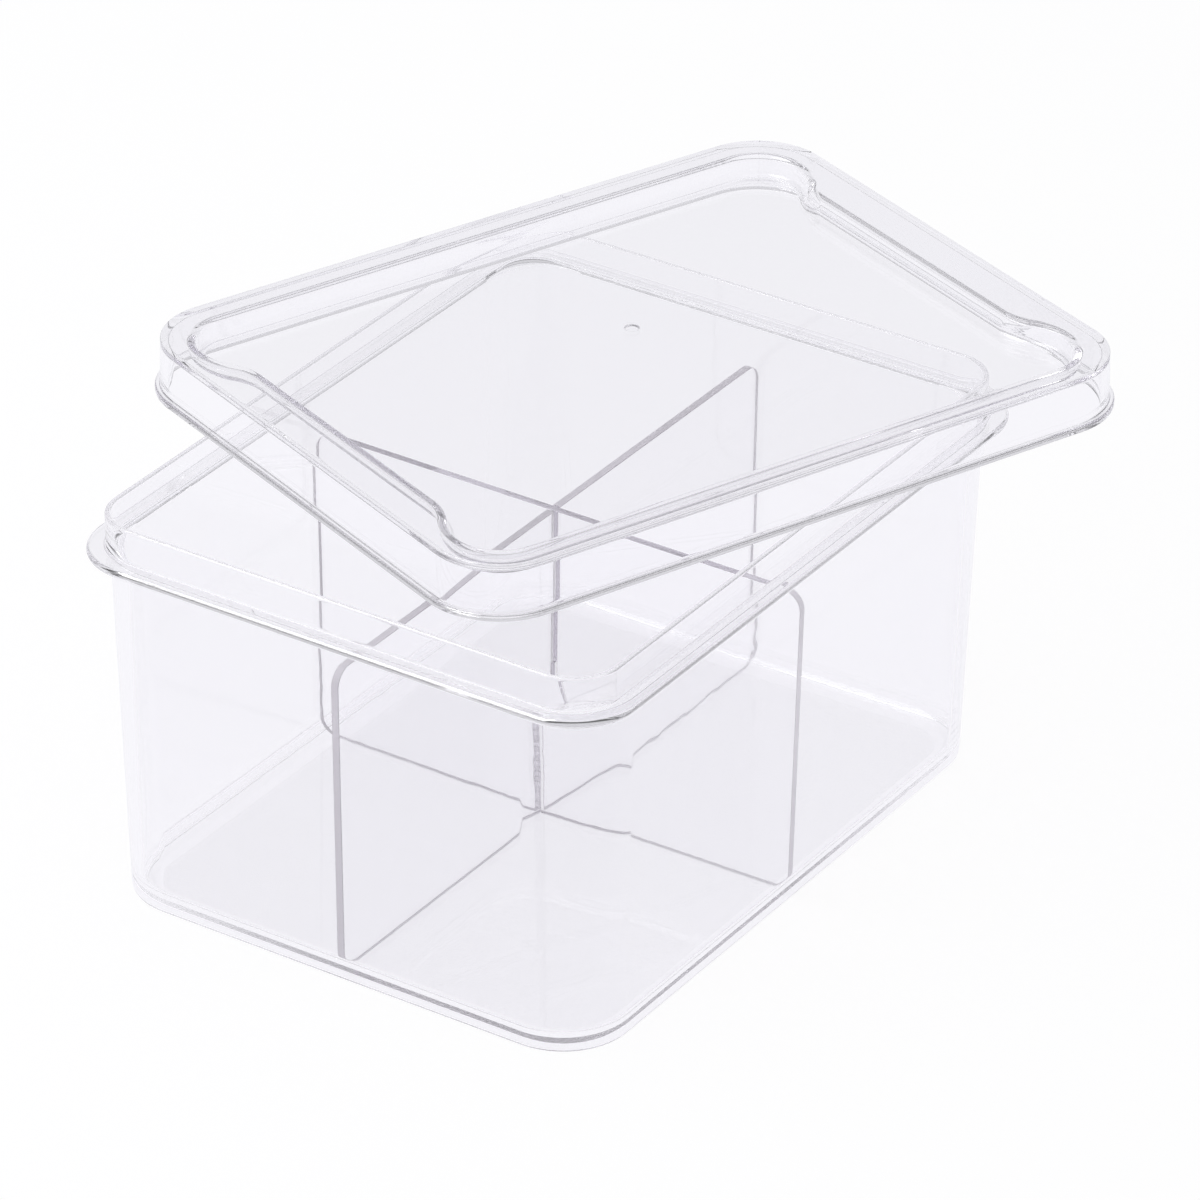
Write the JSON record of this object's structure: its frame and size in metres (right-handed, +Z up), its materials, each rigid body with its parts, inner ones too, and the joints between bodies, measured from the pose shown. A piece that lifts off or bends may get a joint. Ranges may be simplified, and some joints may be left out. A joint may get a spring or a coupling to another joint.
{
  "type": "storage box with lid",
  "caption": "Clear plastic storage box with a flanged neck, crossing half-lap dividers and a loose lid with a sunk panel, lying askew on the rim.",
  "frame": {"origin": "middle of the flat underside of the tub", "axes": "+Z up out of the tub's mouth; Y along the tub's long sides, X across them; the lid lies turned about Z"},
  "size_m": [0.2921, 0.3477, 0.1707],
  "materials": {
    "clear_tub": "clear polished acrylic",
    "clear_divider": "clear polished acrylic with cut edges",
    "clear_lid": "clear polished acrylic"
  },
  "bodies": {
    "tub": {"tub": "clear_tub"},
    "long_divider": {"long_divider": "clear_divider"},
    "short_divider": {"short_divider": "clear_divider"},
    "lid": {"lid": "clear_lid"}
  },
  "joints": [
    {"name": "lid_lift", "type": "slide", "parent": "tub", "child": "lid", "axis": [0, 0, 1], "range_m": [0, 0.2]},
    {"name": "long_divider_lift", "type": "slide", "parent": "tub", "child": "long_divider", "axis": [0, 0, 1], "range_m": [0, 0.0135]},
    {"name": "short_divider_lift", "type": "slide", "parent": "long_divider", "child": "short_divider", "axis": [0, 0, 1], "range_m": [0, 0.0135]}
  ]
}
